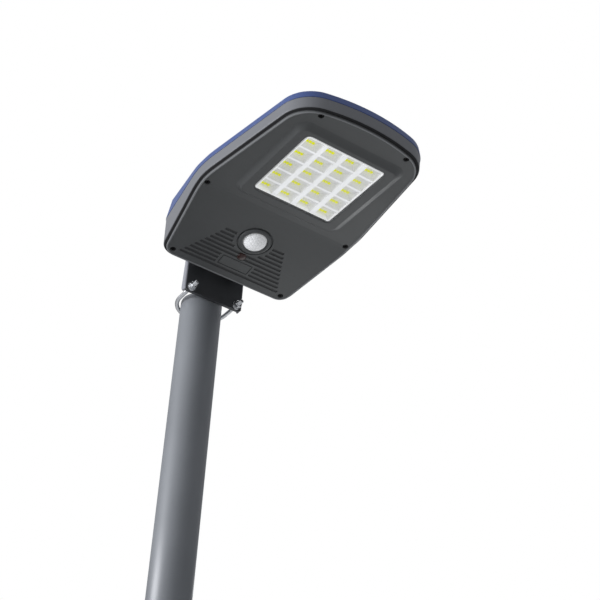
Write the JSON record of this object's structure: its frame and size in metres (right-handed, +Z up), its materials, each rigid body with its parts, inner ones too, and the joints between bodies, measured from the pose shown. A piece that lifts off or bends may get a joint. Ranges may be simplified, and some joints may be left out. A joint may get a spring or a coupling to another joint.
{
  "type": "solar street lamp",
  "caption": "All-in-one solar street lamp: flat head with top solar panel, LED window and motion sensor underneath, tilting on a bracket that a U-bolt clamps to the top of a round pole.",
  "frame": {"origin": "pole axis at the lower cut end of the pole tube", "axes": "+Z up along the pole; the lamp head reaches out towards -Y; +X is the lamp's width, to the left of someone standing at the pole and looking out along the head"},
  "size_m": [0.2554, 0.4522, 0.5862],
  "materials": {
    "pole_paint": "satin grey paint",
    "black_paint": "satin black powder coat",
    "zinc": "bright zinc plating",
    "housing_grey": "satin grey",
    "cover_grey": "fine-grained dark grey",
    "top_blue": "satin blue",
    "black_screw": "black oxide",
    "seal_rubber": "matt",
    "panel_glass": "smooth",
    "silicon": "dark blue cells with fine silver lines",
    "backsheet": "matt black",
    "black_plastic": "moulded",
    "clear_lens": "smooth",
    "reflector_white": "glossy white",
    "board_white": "white solder mask",
    "led_yellow": "phosphor yellow",
    "heat_alu": "extruded",
    "steel": "plain",
    "board_green": "green solder mask",
    "component_black": "moulded",
    "cell_wrap": "shrink sleeve",
    "nickel": "bright strip",
    "dome_white": "frosted white",
    "sensor_can": "plain",
    "ir_red": "dark red, smooth",
    "lead_red": "sleeve",
    "lead_white": "sleeve",
    "lead_black": "sleeve"
  },
  "bodies": {
    "pole": {"pole_tube": "pole_paint", "pole_cap": "black_plastic"},
    "clamp": {"pole_bracket": "black_paint", "u_bolt": "zinc", "u_bolt_washers": "zinc", "u_bolt_spring_washers": "zinc", "u_bolt_nuts": "zinc", "pivot_bolt": "zinc", "pivot_washers": "zinc", "pivot_nut": "zinc"},
    "head": {"hinge_block": "black_paint", "hinge_screws": "zinc", "bottom_cover": "cover_grey", "cover_screws": "black_screw", "cover_gasket": "seal_rubber", "housing": "housing_grey", "body_seal": "seal_rubber", "top_cover": "top_blue", "solar_glass": "panel_glass", "solar_cells": "silicon", "solar_backsheet": "backsheet", "panel_seal": "seal_rubber", "panel_junction": "black_plastic", "window_lens": "clear_lens", "lens_gasket": "seal_rubber", "reflector": "reflector_white", "led_board": "board_white", "led_chips": "led_yellow", "heat_sink": "heat_alu", "led_screws": "steel", "controller_board": "board_green", "controller_parts": "component_black", "board_screws": "steel", "battery_cells": "cell_wrap", "battery_strips": "nickel", "battery_tray": "black_plastic", "tray_screws": "steel", "bms_board": "board_green", "pir_dome": "dome_white", "pir_bezel": "cover_grey", "pir_sensor": "sensor_can", "sensor_board": "board_green", "sensor_screws": "steel", "ir_window": "ir_red", "ir_receiver": "component_black", "panel_lead": "lead_red", "battery_lead": "lead_red", "led_lead": "lead_white", "sensor_lead": "lead_black"}
  },
  "joints": [
    {"name": "aim", "type": "hinge", "parent": "pole", "child": "clamp", "pos_m": [0, 0, 0.479], "axis": [0, 0, 1], "continuous": true},
    {"name": "head_tilt", "type": "hinge", "parent": "clamp", "child": "head", "pos_m": [0, -0.0426, 0.532], "axis": [-1, 0, 0], "range_deg": [-15, 30]}
  ]
}
